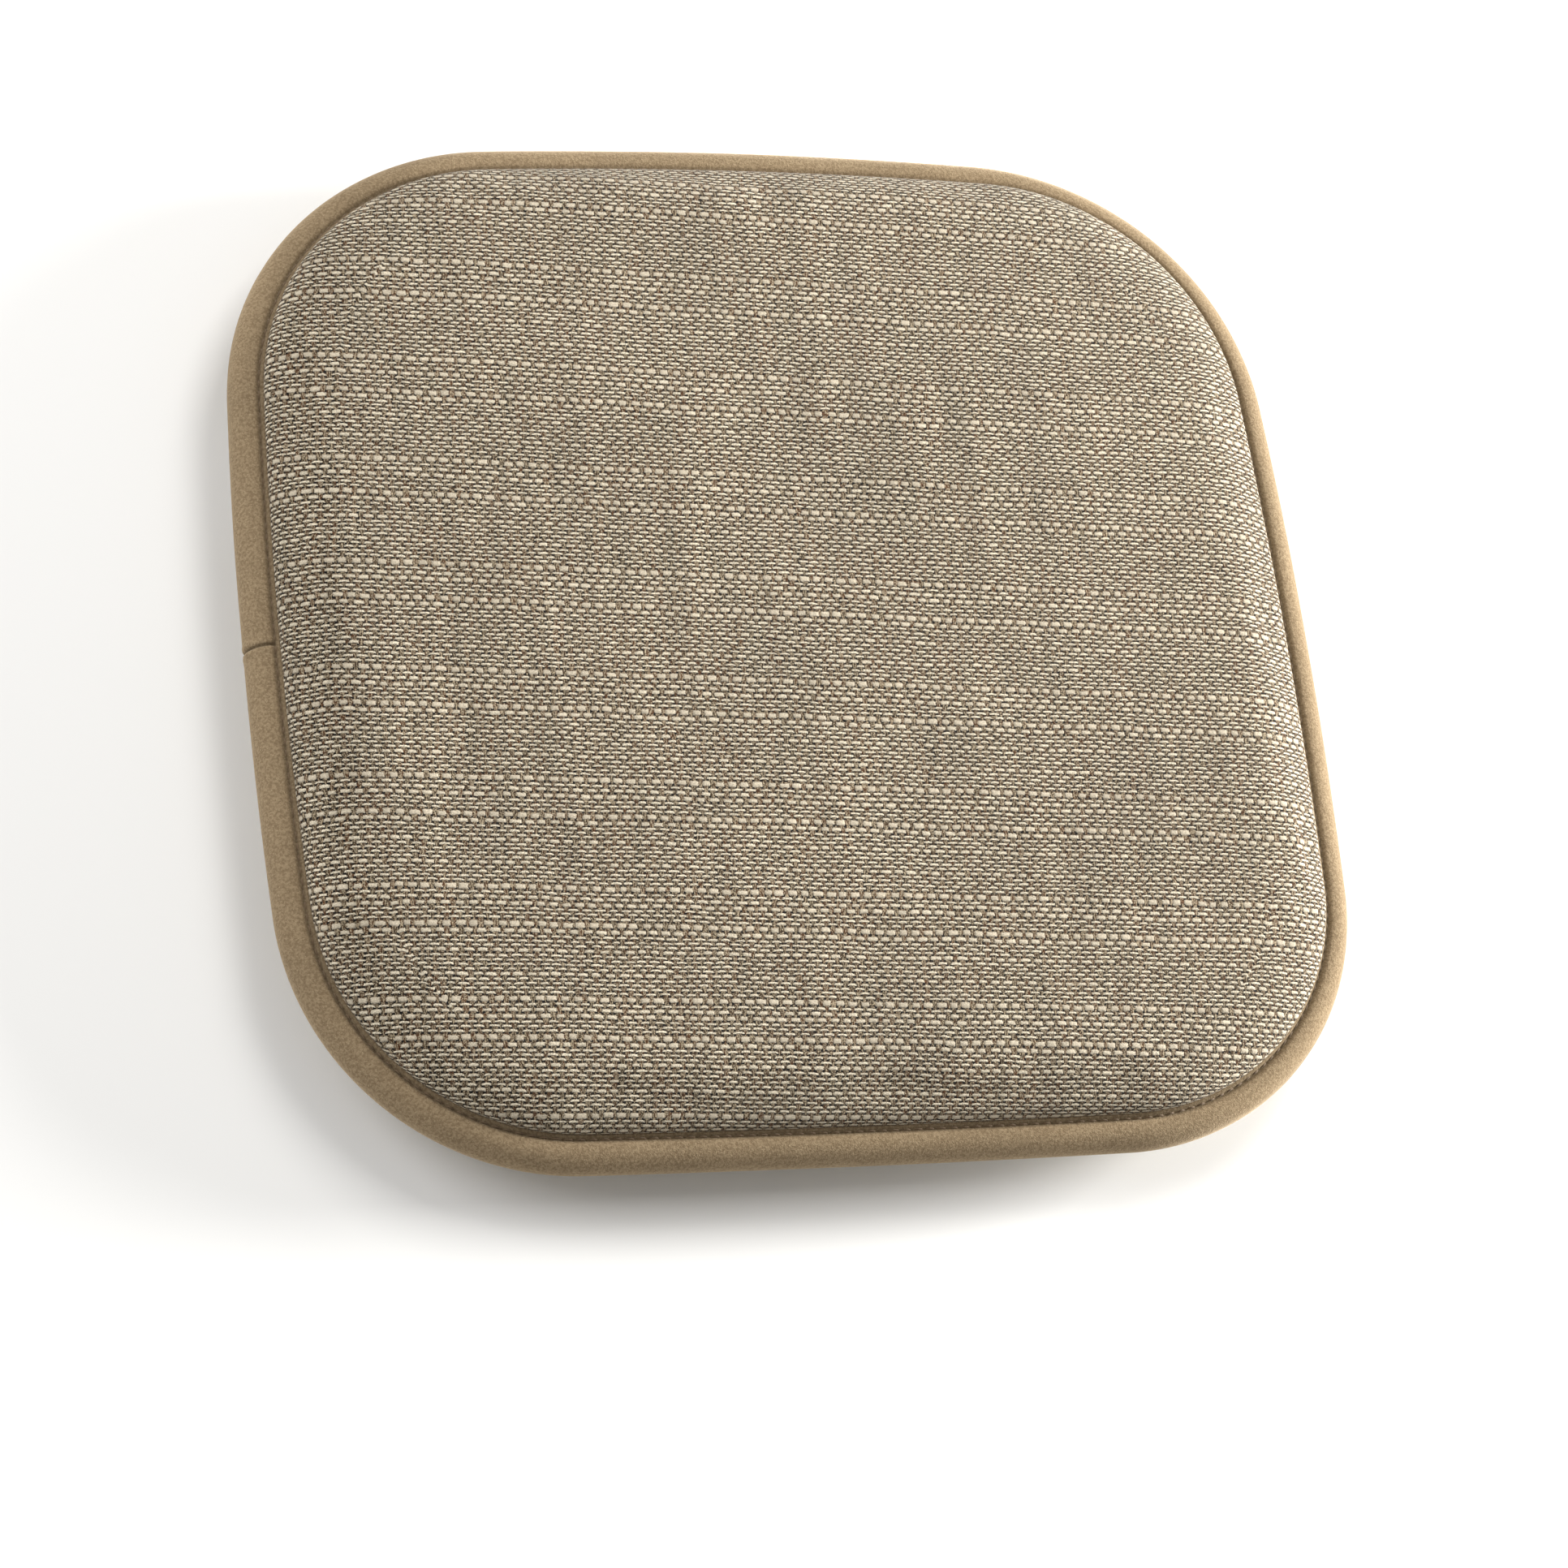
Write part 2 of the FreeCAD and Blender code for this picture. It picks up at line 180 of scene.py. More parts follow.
# The covers' edges sit beside the tube and their shoulders bulge over its stitched tails. The top face's
# seam is drawn further out and higher than the underside's, by a shift and a lift.
ROLL_RADIUS = 7.7
COVER_INSET = 13.3
TOP_SHIFT = 1.3
TOP_LIFT = 0.5
TOP_EDGE = SEAM_HEIGHT + 7.2 + TOP_LIFT
TOP_SHOULDER = (25.0, 12.4)
UNDER_EDGE = SEAM_HEIGHT - 7.2
UNDER_SHOULDER = (34.0, UNDER_EDGE)


def shoulder_profile(start, edge, reach, rise, bulge=0.0, flatness=1.0, steps=13):
    """(inset, height) points of a quarter ellipse, from a cover's stitched edge to its level face."""
    points = []
    for step in range(steps + 1):
        angle = math.pi / 2 * step / steps
        inset = start + reach * (1 - math.cos(angle)) - bulge * math.sin(2 * angle)
        points.append((inset, edge + rise * (1 - (1 - math.sin(angle)) ** flatness)))
    return points


def top_profile():
    return shoulder_profile(COVER_INSET - TOP_SHIFT, TOP_EDGE, *TOP_SHOULDER, bulge=1.4)


def under_profile():
    return shoulder_profile(COVER_INSET, UNDER_EDGE, UNDER_SHOULDER[0], -UNDER_SHOULDER[1], flatness=0.8)


def under_height(inset):
    insets, heights = zip(*under_profile())
    return float(np.interp(inset, insets, heights))


def top_crown(run):
    """Height of the top face at a distance in from its shoulder: a low crown."""
    level = TOP_EDGE + TOP_SHOULDER[1]
    return level + (PAD_HEIGHT - level) * (1 - math.exp(-run / 45)) / (1 - math.exp(-160 / 45))


def under_flat(run):
    """The underside lies flat on the floor."""
    return 0.0


# ---------------------------------------------------------------- meshes

def new_object(name, vertices, faces):
    """A smooth-shaded mesh object in the scene. Vertices are in metres."""
    mesh = bpy.data.meshes.new(name)
    mesh.from_pydata([tuple(vertex) for vertex in vertices], [], faces)
    mesh.validate()
    mesh.update()
    mesh.polygons.foreach_set("use_smooth", [True] * len(mesh.polygons))
    obj = bpy.data.objects.new(name, mesh)
    bpy.context.scene.collection.objects.link(obj)
    return obj


def add_point_attribute(obj, name, kind, values):
    attribute = obj.data.attributes.new(name, kind, "POINT")
    key = "vector" if kind == "FLOAT_VECTOR" else "value"
    attribute.data.foreach_set(key, np.asarray(values, dtype=np.float32).ravel())


def apply_modifiers(obj):
    """Keep the object's evaluated mesh as its own mesh."""
    depsgraph = bpy.context.evaluated_depsgraph_get()
    final = bpy.data.meshes.new_from_object(obj.evaluated_get(depsgraph), depsgraph=depsgraph)
    old = obj.data
    obj.modifiers.clear()
    obj.data = final
    bpy.data.meshes.remove(old)
    final.name = obj.name


def ring_faces(stations, points, closed_section=True, closed_ring=True):
    """Quads between successive sections, which may close round the outline."""
    faces = []
    last = points if closed_section else points - 1
    whole = stations if closed_ring else stations + 1
    for station in range(stations):
        this = station * points
        following = (station + 1) % whole * points
        for point in range(last):
            beside = (point + 1) % points
            faces.append((this + point, following + point, following + beside, this + beside))
    return faces


def middle_grid(ring, per_side):
    """Points that fill a closed ring as a square grid: each is blended from the ring's four sides."""
    def side(start, step):
        return [ring[(start + step * number) % len(ring)] for number in range(per_side + 1)]

    half = per_side // 2
    front = side(-half, 1)
    right = side(half, 1)
    back = side(5 * half, -1)
    left = side(-half, -1)
    rows = []
    for row in range(1, per_side):
        up = row / per_side
        points = []
        for column in range(1, per_side):
            across = column / per_side
            between_sides = left[row] * (1 - across) + right[row] * across
            between_ends = front[column] * (1 - up) + back[column] * up
            low = front[0] * (1 - across) + front[-1] * across
            high = back[0] * (1 - across) + back[-1] * across
            points.append(between_sides + between_ends - low * (1 - up) - high * up)
        rows.append(points)
    return rows


def grid_faces(first_ring, first_inner, stations, per_side):
    """Quads of the middle grid. first_ring(station) is a ring vertex, first_inner the first grid vertex."""
    half = per_side // 2

    def vertex(row, column):
        if row == 0:
            return first_ring((column - half) % stations)
        if column == per_side:
            return first_ring(half + row)
        if row == per_side:
            return first_ring(5 * half - column)
        if column == 0:
            return first_ring((-half - row) % stations)
        return first_inner + (row - 1) * (per_side - 1) + column - 1

    faces = []
    for row in range(per_side):
        for column in range(per_side):
            faces.append((
                vertex(row, column),
                vertex(row, column + 1),
                vertex(row + 1, column + 1),
                vertex(row + 1, column),
            ))
    return faces


def cloth_sheet(name, profile, face_height, side, weave_turn=0.0, stations=240):
    """A cover as a sheet: the margin under the tail, the shoulder's profile, then a grid that fills the face.

    Its "weave" attribute holds the cloth's own flat coordinates in millimetres, so the weave isn't stretched
    where the cloth turns down to the seam.
    """
    cloth_run = [0.0]
    for near, far in zip(profile, profile[1:]):
        cloth_run.append(cloth_run[-1] + math.dist(near, far))
    last_inset = profile[-1][0]
    margin = (profile[0][0] + 0.4, SEAM_HEIGHT + side * 5.6)
    rows = [(margin, last_inset - cloth_run[-1] - math.dist(margin, profile[0]))]
    rows += [(point, last_inset - cloth_run[-1] + run) for point, run in zip(profile, cloth_run)]
    vertices = []
    flats = []
    ring = []
    edges = []
    for number in range(stations):
        edge, outward = outline.at(outline.length * number / stations)
        edges.append(edge)
        for (inset, height), flat_inset in rows:
            point = edge - outward * inset
            vertices.append((point.x, point.y, height))
            flats.append(edge - outward * flat_inset)
        ring.append(point)
    points = len(rows)
    first_inner = len(vertices)
    for row in middle_grid(ring, stations // 4):
        for point in row:
            run = min((point - edge).length for edge in edges) - last_inset
            vertices.append((point.x, point.y, face_height(run)))
            flats.append(point)
    faces = ring_faces(stations, points, closed_section=False)
    faces += grid_faces(lambda station: station * points + points - 1, first_inner, stations, stations // 4)
    if side < 0:
        faces = [tuple(reversed(face)) for face in faces]
    obj = new_object(name, [Vector(v) * MM for v in vertices], faces)
    turn = Matrix.Rotation(-math.radians(weave_turn), 2)
    add_point_attribute(obj, "weave", "FLOAT_VECTOR", [(*(turn @ flat), 0) for flat in flats])
    # the margin and the first two rows of the shoulder are sewn down
    pinned = obj.vertex_groups.new(name="pinned")
    held = [number * points + point for number in range(stations) for point in range(3)]
    pinned.add(held, 1.0, "REPLACE")
    return obj


def settle_cloth(obj, pressure, shrink, cap):
    """Let the top sheet fill out under pressure from inside, held at its stitched edge.

    Each point keeps only how far it swells, up to cap millimetres, and the crown ends at the pad's height.
    """
    vertices = obj.data.vertices
    start = np.empty(len(vertices) * 3)
    vertices.foreach_get("co", start)
    start = start.reshape(-1, 3)
    normals = np.array([vertex.normal for vertex in vertices])
    modifier = obj.modifiers.new("cloth", "CLOTH")
    cloth = modifier.settings
    cloth.quality = 6
    cloth.mass = 0.25
    cloth.tension_stiffness = 25
    cloth.compression_stiffness = 25
    cloth.shear_stiffness = 8
    cloth.bending_stiffness = 1.2
    cloth.air_damping = 3
    cloth.vertex_group_mass = "pinned"
    cloth.use_pressure = True
    cloth.uniform_pressure_force = pressure
    cloth.shrink_min = shrink
    cloth.effector_weights.gravity = 0
    modifier.collision_settings.use_collision = False
    scene = bpy.context.scene
    for frame_number in range(1, 21):
        scene.frame_set(frame_number)
    settled = obj.evaluated_get(bpy.context.evaluated_depsgraph_get())
    moved = np.empty(len(vertices) * 3)
    settled.data.vertices.foreach_get("co", moved)
    obj.modifiers.clear()
    scene.frame_set(1)
    swell = ((moved.reshape(-1, 3) - start) * normals).sum(axis=1)
    swell = np.where(swell > 0, cap * MM * np.tanh(swell / (cap * MM)), np.maximum(swell, -0.2 * MM))
    final = start + normals * swell[:, None]
    edge = TOP_EDGE * MM
    above = np.maximum(final[:, 2] - edge, 0)
    final[:, 2] += above * ((PAD_HEIGHT * MM - edge) / above.max() - 1)
    vertices.foreach_set("co", final.ravel())
    obj.data.update()


def solid_sheet(obj, thickness):
    """Give a sheet its cloth's thickness, inwards, after one subdivision."""
    smooth = obj.modifiers.new("smooth", "SUBSURF")
    smooth.levels = 1
    smooth.render_levels = 1
    thick = obj.modifiers.new("thick", "SOLIDIFY")
    thick.thickness = thickness * MM
    thick.offset = -1
    apply_modifiers(obj)


def swept_ring(name, distances, section_at):
    """Sections carried round the outline. section_at(distance) gives (inset, height, pinch) points."""
    vertices = []
    pinches = []
    for distance in distances:
        edge, outward = outline.at(distance)
        section = section_at(distance)
        for inset, height, pinch in section:
            point = edge - outward * inset
            vertices.append(Vector((point.x, point.y, height)) * MM)
            pinches.append(pinch)
    points = len(vertices) // len(distances)
    obj = new_object(name, vertices, ring_faces(len(distances), points))
    add_point_attribute(obj, "pinch", "FLOAT", pinches)
    return obj


def even_distances(count):
    return [outline.length * number / count for number in range(count)]


# ---------------------------------------------------------------- binding, threads, fillings

STITCH_COUNT = round(outline.length / STITCH_PITCH)
STITCH_LENGTH = outline.length / STITCH_COUNT


def stitch_hole(distance):
    """1 at a needle hole and 0 in the middle of a stitch."""
    phase = distance / STITCH_LENGTH
    return 0.5 + 0.5 * math.cos(2 * math.pi * phase)


def splice_crease(distance, angle):
    """How far the splice's butt seam pulls the velvet in, in millimetres, and how near the seam is, 0 to 1."""
    bend = 0.9 * math.sin(math.radians(angle - 60))
    away = (distance - SPLICE_AT - bend + outline.length / 2) % outline.length - outline.length / 2
    crease = math.exp(-((away / 0.55) ** 2))
    lips = math.exp(-(((abs(away) - 2.0) / 1.2) ** 2))
    return 0.95 * crease - 0.22 * lips, crease


def binding_section(distance):
    """The velvet strip: tail, stitched groove, tube, groove and tail, then back along its inner face.

    A point's pinch, from 0 to 1, says how deep it lies in the groove or the splice; it paints shade on the
    velvet.
    """
    hole = stitch_hole(distance)
    swell = 0.16 * slow_wave(distance, 1, (3, 5, 9, 14))
    sway = 0.5 * slow_wave(distance, 2)
    # (inset, rise from the seam, pinch): round the tail's cut edge, over its top and down into the groove
    cut_edge = [(14.0, 6.1, 0.6), (14.5, 6.5, 0.6), (14.5, 7.1, 0.5), (14.0, 7.6, 0.4)]
    into_groove = [(13.3, 7.75, 0.35), (12.6, 7.45, 0.45), (12.1, 6.95, 0.7), (11.7, 6.3, 1.0)]
    loop = []
    for side in (-1, 1):
        ripple = 0.25 * slow_wave(distance, 5 + side, (4, 7, 11, 17))
        droop = sway + (0.55 * slow_wave(distance, 9, (3, 4, 7, 12)) if side < 0 else 0)
        shift, lift, tube_start = (TOP_SHIFT, TOP_LIFT, 75) if side > 0 else (0.0, 0.0, 64)
        half = []
        for inset, rise, pinch in cut_edge + into_groove:
            depth = 0.34 * hole if pinch >= 1 else 0.16 * hole * (pinch > 0.3)
            wave = ripple if inset > 13.5 else ripple * 0.4
            rise = rise + lift - depth
            half.append((inset - shift + wave, SEAM_HEIGHT + side * rise + droop * 0.4, pinch))
        tube_half = []
        for angle in (tube_start, tube_start + 6, 88, 99, 110, 121, 132, 143, 154, 166):
            pull, crease = splice_crease(distance, angle * side)
            radius = ROLL_RADIUS + swell - pull
            if angle == tube_start:
                radius -= 0.3 + 0.18 * hole
            across = radius * math.cos(math.radians(angle))
            up = radius * math.sin(math.radians(angle))
            share = (180 - angle) / 180
            pinch = max(crease, 0.45 if angle == tube_start else 0.0)
            tube_half.append((ROLL_RADIUS + across, SEAM_HEIGHT + side * up + droop * share, pinch))
        half += tube_half
        if side < 0:
            loop += half
            pull, crease = splice_crease(distance, 180)
            loop.append((pull - swell, SEAM_HEIGHT, crease))
        else:
            loop += reversed(half)
    for side in (1, -1):
        angles = (61, 100, 140) if side > 0 else (140, 100, 61)
        for angle in angles:
            across = (ROLL_RADIUS - VELVET_THICKNESS) * math.cos(math.radians(angle))
            up = (ROLL_RADIUS - VELVET_THICKNESS) * math.sin(math.radians(angle))
            loop.append((ROLL_RADIUS + across, SEAM_HEIGHT + side * up, 0.5))
    return loop


def make_binding():
    """The binding, with extra sections where the splice creases it."""
    distances = even_distances(900)
    fine = [SPLICE_AT + 0.3 * step for step in range(-14, 15)]
    distances = [d for d in distances if abs(d - SPLICE_AT) > 4.4] + fine
    return swept_ring("velvet_binding", sorted(distances), binding_section)


def make_edge_thread(name, side):
    """The topstitching: one thread that lies in the groove and dips at each needle hole."""
    def section(distance):
        hole = stitch_hole(distance)
        radius = 0.34 - 0.1 * hole
        shift, lift = (TOP_SHIFT, TOP_LIFT) if side > 0 else (0.0, 0.0)
        centre = SEAM_HEIGHT + side * (6.6 + lift - 1.1 * hole ** 2)
        points = []
        for number in range(6):
            angle = 2 * math.pi * number / 6
            points.append((11.75 - shift + radius * math.cos(angle), centre + radius * math.sin(angle), 0.0))
        return points

    return swept_ring(name, even_distances(STITCH_COUNT * 8), section)


def make_filler():
    """The wadding cord inside the tube, a little uneven."""
    def section(distance):
        points = []
        for number in range(16):
            angle = 2 * math.pi * number / 16
            radius = 5.9 + 0.12 * slow_wave(distance + 9 * number, 4, (11, 17, 29))
            points.append((ROLL_RADIUS + radius * math.cos(angle), SEAM_HEIGHT + radius * math.sin(angle), 0))
        return points

    return swept_ring("filler_roll", even_distances(360), section)


def make_foam():
    """The foam slab between the covers, a cloth's thickness inside both of them."""
    gap = CLOTH_THICKNESS + 1.3
    stations = 120
    lower_rows = [(inset + gap, max(height, 0) + gap) for inset, height in reversed(under_profile()[3:])]
    upper_rows = [(inset + gap, height - gap) for inset, height in top_profile()[3:]]
    vertices = []
    for number in range(stations):
        edge, outward = outline.at(outline.length * number / stations)
        section = [(edge - outward * inset, height) for inset, height in lower_rows + upper_rows]
        hub = (section[0][0] * 0.5, gap)
        cap = (section[-1][0] * 0.5, top_crown(60) - gap)
        for point, height in [hub] + section + [cap]:
            vertices.append(Vector((point.x, point.y, height)) * MM)
    points = len(vertices) // stations
    faces = ring_faces(stations, points, closed_section=False)
    faces.append(tuple(number * points + points - 1 for number in range(stations)))
    faces.append(tuple(number * points for number in reversed(range(stations))))
    return new_object("foam_slab", vertices, faces)


# ---------------------------------------------------------------- care label

LABEL_JOINT = next(joint for joint in frame["joints"] if joint["name"] == "label_flip")
LABEL_SEAM = Vector(LABEL_JOINT["pos_m"]) / MM
LABEL_ALONG = Vector(LABEL_JOINT["axis"]).normalized()
LABEL_INWARD = Vector((LABEL_ALONG.y, -LABEL_ALONG.x, 0))
LABEL_SLOPE = math.radians(36.0)
LABEL_DOWN = LABEL_INWARD * math.cos(LABEL_SLOPE) + Vector((0, 0, -math.sin(LABEL_SLOPE)))
LABEL_OUT = LABEL_INWARD * -math.sin(LABEL_SLOPE) + Vector((0, 0, -math.cos(LABEL_SLOPE)))
LABEL_INSET = 14.3
LABEL_WIDTH = 50.0
LABEL_TOP = 0.5
LABEL_DROP = 19.4
LABEL_LEAF = 0.2
LABEL_FOLD = 0.28


def label_lift(along):
    """How far the label's middle line bends outwards, so that it lies on the underside cloth."""
    inset = LABEL_INSET + along * math.cos(LABEL_SLOPE)
    height = LABEL_SEAM.z - along * math.sin(LABEL_SLOPE)
    return max(0.0, height - (under_height(inset) - 1.0)) * math.cos(LABEL_SLOPE)


def label_line(steps=14):
    """(distance down from the seam, offset outwards, run of the ribbon): front leaf, fold, back leaf."""
    straight = LABEL_DROP - LABEL_TOP
    line = []
    for step in range(steps + 1):
        line.append((LABEL_TOP + straight * step / steps, LABEL_FOLD, straight * step / steps))
    for step in range(1, 6):
        angle = math.pi * step / 6
        along = LABEL_DROP + LABEL_FOLD * math.sin(angle)
        line.append((along, LABEL_FOLD * math.cos(angle), straight + LABEL_FOLD * angle))
    for along, off, run in reversed(line[:steps + 1]):
        line.append((along, -off, 2 * straight + math.pi * LABEL_FOLD - run))
    return line


def make_label():
    """A satin ribbon folded in two: one leaf down from the seam, the fold, and one leaf back up behind it."""
    line = label_line()
    columns = 26
    vertices = []
    print_place = []
    for column in range(columns + 1):
        side = LABEL_WIDTH * (column / columns - 0.5)
        for along, off, run in line:
            hang = along / LABEL_DROP
            curl = 0.30 * hang * math.sin(side * 0.11 + 0.6) + 0.2 * hang ** 2 * math.cos(side * 0.05)
            lift = label_lift(along) + curl + off
            vertices.append((LABEL_SEAM + LABEL_ALONG * side + LABEL_DOWN * along + LABEL_OUT * lift) * MM)
            print_place.append((side + LABEL_WIDTH / 2, run, 0))
    faces = ring_faces(columns, len(line), closed_section=False, closed_ring=False)
    obj = new_object("label_ribbon", vertices, faces)
    add_point_attribute(obj, "ribbon", "FLOAT_VECTOR", print_place)
    thick = obj.modifiers.new("thick", "SOLIDIFY")
    thick.thickness = LABEL_LEAF * MM
    thick.offset = 0
    apply_modifiers(obj)
    return obj


# ---------------------------------------------------------------- materials

def linear(red, green, blue):
    """A colour given on a 0 to 255 scale, as the linear colour that shaders use."""
    def channel(level):
        level /= 255
        return level / 12.92 if level <= 0.04045 else ((level + 0.055) / 1.055) ** 2.4

    return (channel(red), channel(green), channel(blue), 1.0)


class Shader:
    """A material's node tree, with short ways to add nodes. Inputs are numbers, colours or sockets."""

    def __init__(self, name, roughness, specular, sheen=0.0, sheen_roughness=0.5, sheen_tint=(1, 1, 1, 1)):
        self.material = bpy.data.materials.new(name)
        self.material.use_nodes = True
        self.tree = self.material.node_tree
        self.surface = self.tree.nodes["Principled BSDF"]
        self.surface.inputs["Roughness"].default_value = roughness
        self.surface.inputs["Sheen Weight"].default_value = sheen
        self.surface.inputs["Sheen Roughness"].default_value = sheen_roughness
        self.surface.inputs["Sheen Tint"].default_value = sheen_tint
        self.surface.inputs["Specular IOR Level"].default_value = specular

    def node(self, kind, inputs=None, **settings):
        made = self.tree.nodes.new(kind)
        for key, value in settings.items():
            setattr(made, key, value)
        for key, value in (inputs or {}).items():
            self.feed(made.inputs[key], value)
        return made

    def feed(self, socket, value):
        if isinstance(value, bpy.types.NodeSocket):
            self.tree.links.new(value, socket)
        else:
            socket.default_value = value

    def math(self, operation, *values):
        return self.node("ShaderNodeMath", dict(enumerate(values)), operation=operation).outputs[0]

    def add(self, *values):
        total = values[0]
        for value in values[1:]:
            total = self.math("ADD", total, value)
        return total

    def times(self, *values):
        total = values[0]
        for value in values[1:]:
            total = self.math("MULTIPLY", total, value)
        return total

    def less(self, first, second):
        return self.math("SUBTRACT", first, second)

    def clamp(self, value):
        return self.node("ShaderNodeClamp", {"Value": value}).outputs[0]

    def step(self, value, low, high, start=0.0, end=1.0):
        """A smooth step from start to end while value goes from low to high."""
        inputs = {"Value": value, "From Min": low, "From Max": high, "To Min": start, "To Max": end}
        return self.node("ShaderNodeMapRange", inputs, interpolation_type="SMOOTHSTEP").outputs[0]

    def mix(self, share, first, second):
        made = self.node("ShaderNodeMix", data_type="RGBA")
        self.feed(made.inputs[0], share)
        self.feed(made.inputs[6], first)
        self.feed(made.inputs[7], second)
        return made.outputs[2]

    def shade(self, colour, factor):
        """A colour made lighter or darker by a factor."""
        if isinstance(colour, tuple):
            colour = colour[:3]
        made = self.node("ShaderNodeVectorMath", {0: colour}, operation="SCALE")
        self.feed(made.inputs["Scale"], factor)
        return made.outputs[0]

    def place(self, attribute):
        """A mesh attribute as a vector, and its first two parts."""
        vector = self.node("ShaderNodeAttribute", attribute_name=attribute).outputs["Vector"]
        parts = self.node("ShaderNodeSeparateXYZ", {0: vector})
        return vector, parts.outputs[0], parts.outputs[1]

    def joined(self, across, along, up=0.0):
        return self.node("ShaderNodeCombineXYZ", {0: across, 1: along, 2: up}).outputs[0]

    def noise(self, vector, scale, detail=2.0, roughness=0.5):
        """Smooth noise. The callers' third coordinate only gives each noise a pattern of its own."""
        inputs = {"Vector": vector, "Scale": scale, "Detail": detail, "Roughness": roughness}
        return self.node("ShaderNodeTexNoise", inputs).outputs[0]

    def chance(self, first, second=0.0):
        """An even random number from 0 to 1 that belongs to two whole numbers."""
        vector = self.joined(first, second)
        return self.node("ShaderNodeTexWhiteNoise", {"Vector": vector}, noise_dimensions="2D").outputs[0]

    def bump(self, height, distance):
        """Surface relief: height from 0 to 1 or so, over a distance in millimetres."""
        inputs = {"Height": height, "Distance": distance * MM, "Strength": 1.0}
        return self.node("ShaderNodeBump", inputs).outputs[0]

    def finish(self, colour, normal):
        self.feed(self.surface.inputs["Base Color"], colour)
        self.feed(self.surface.inputs["Normal"], normal)
        return self.material


# Degrees by which the cloth is turned on the pad, then a thin row's height and a dash's pitch in millimetres.
WEAVE_TURN = -2.7
ROW_PITCH = 1.625
DASH_PITCH = 4.72
# One repeat of the weft, from the back of the pad to the front: how much taller each yarn is than a thin one.
THICK = {"A": 1.15, "B": 0.75, "C": 0.50, "D": 0.45, "t": 0.0}
WEFT_REPEAT = "ABtttCttttDttttAtCBttt"
REPEAT_START = 42.9


def weft_rows(s, along):
    """Count rows of uneven height: the row's number, the place within it from 0 to 1 and its extra height."""
    repeat = len(WEFT_REPEAT) * ROW_PITCH + sum(THICK[yarn] for yarn in WEFT_REPEAT)
    turns = s.math("DIVIDE", s.add(s.times(along, -1.0), REPEAT_START + 20 * repeat), repeat)
    turn = s.math("FLOOR", turns)
    inside = s.times(s.less(turns, turn), repeat)
    even = inside
    thickness = 0.0
    begin = 0.0
    for yarn in WEFT_REPEAT:
        extra = THICK[yarn]
        if extra:
            through = s.clamp(s.math("DIVIDE", s.less(inside, begin), ROW_PITCH + extra))
            even = s.less(even, s.times(through, extra))
            here = s.math("COMPARE", through, 0.5, 0.4999)
            thickness = s.add(s.times(here, extra), thickness)
        begin += ROW_PITCH + extra
    count = s.math("DIVIDE", even, ROW_PITCH)
    row = s.math("FLOOR", count)
    return s.add(row, s.times(turn, float(len(WEFT_REPEAT)))), s.less(count, row), thickness


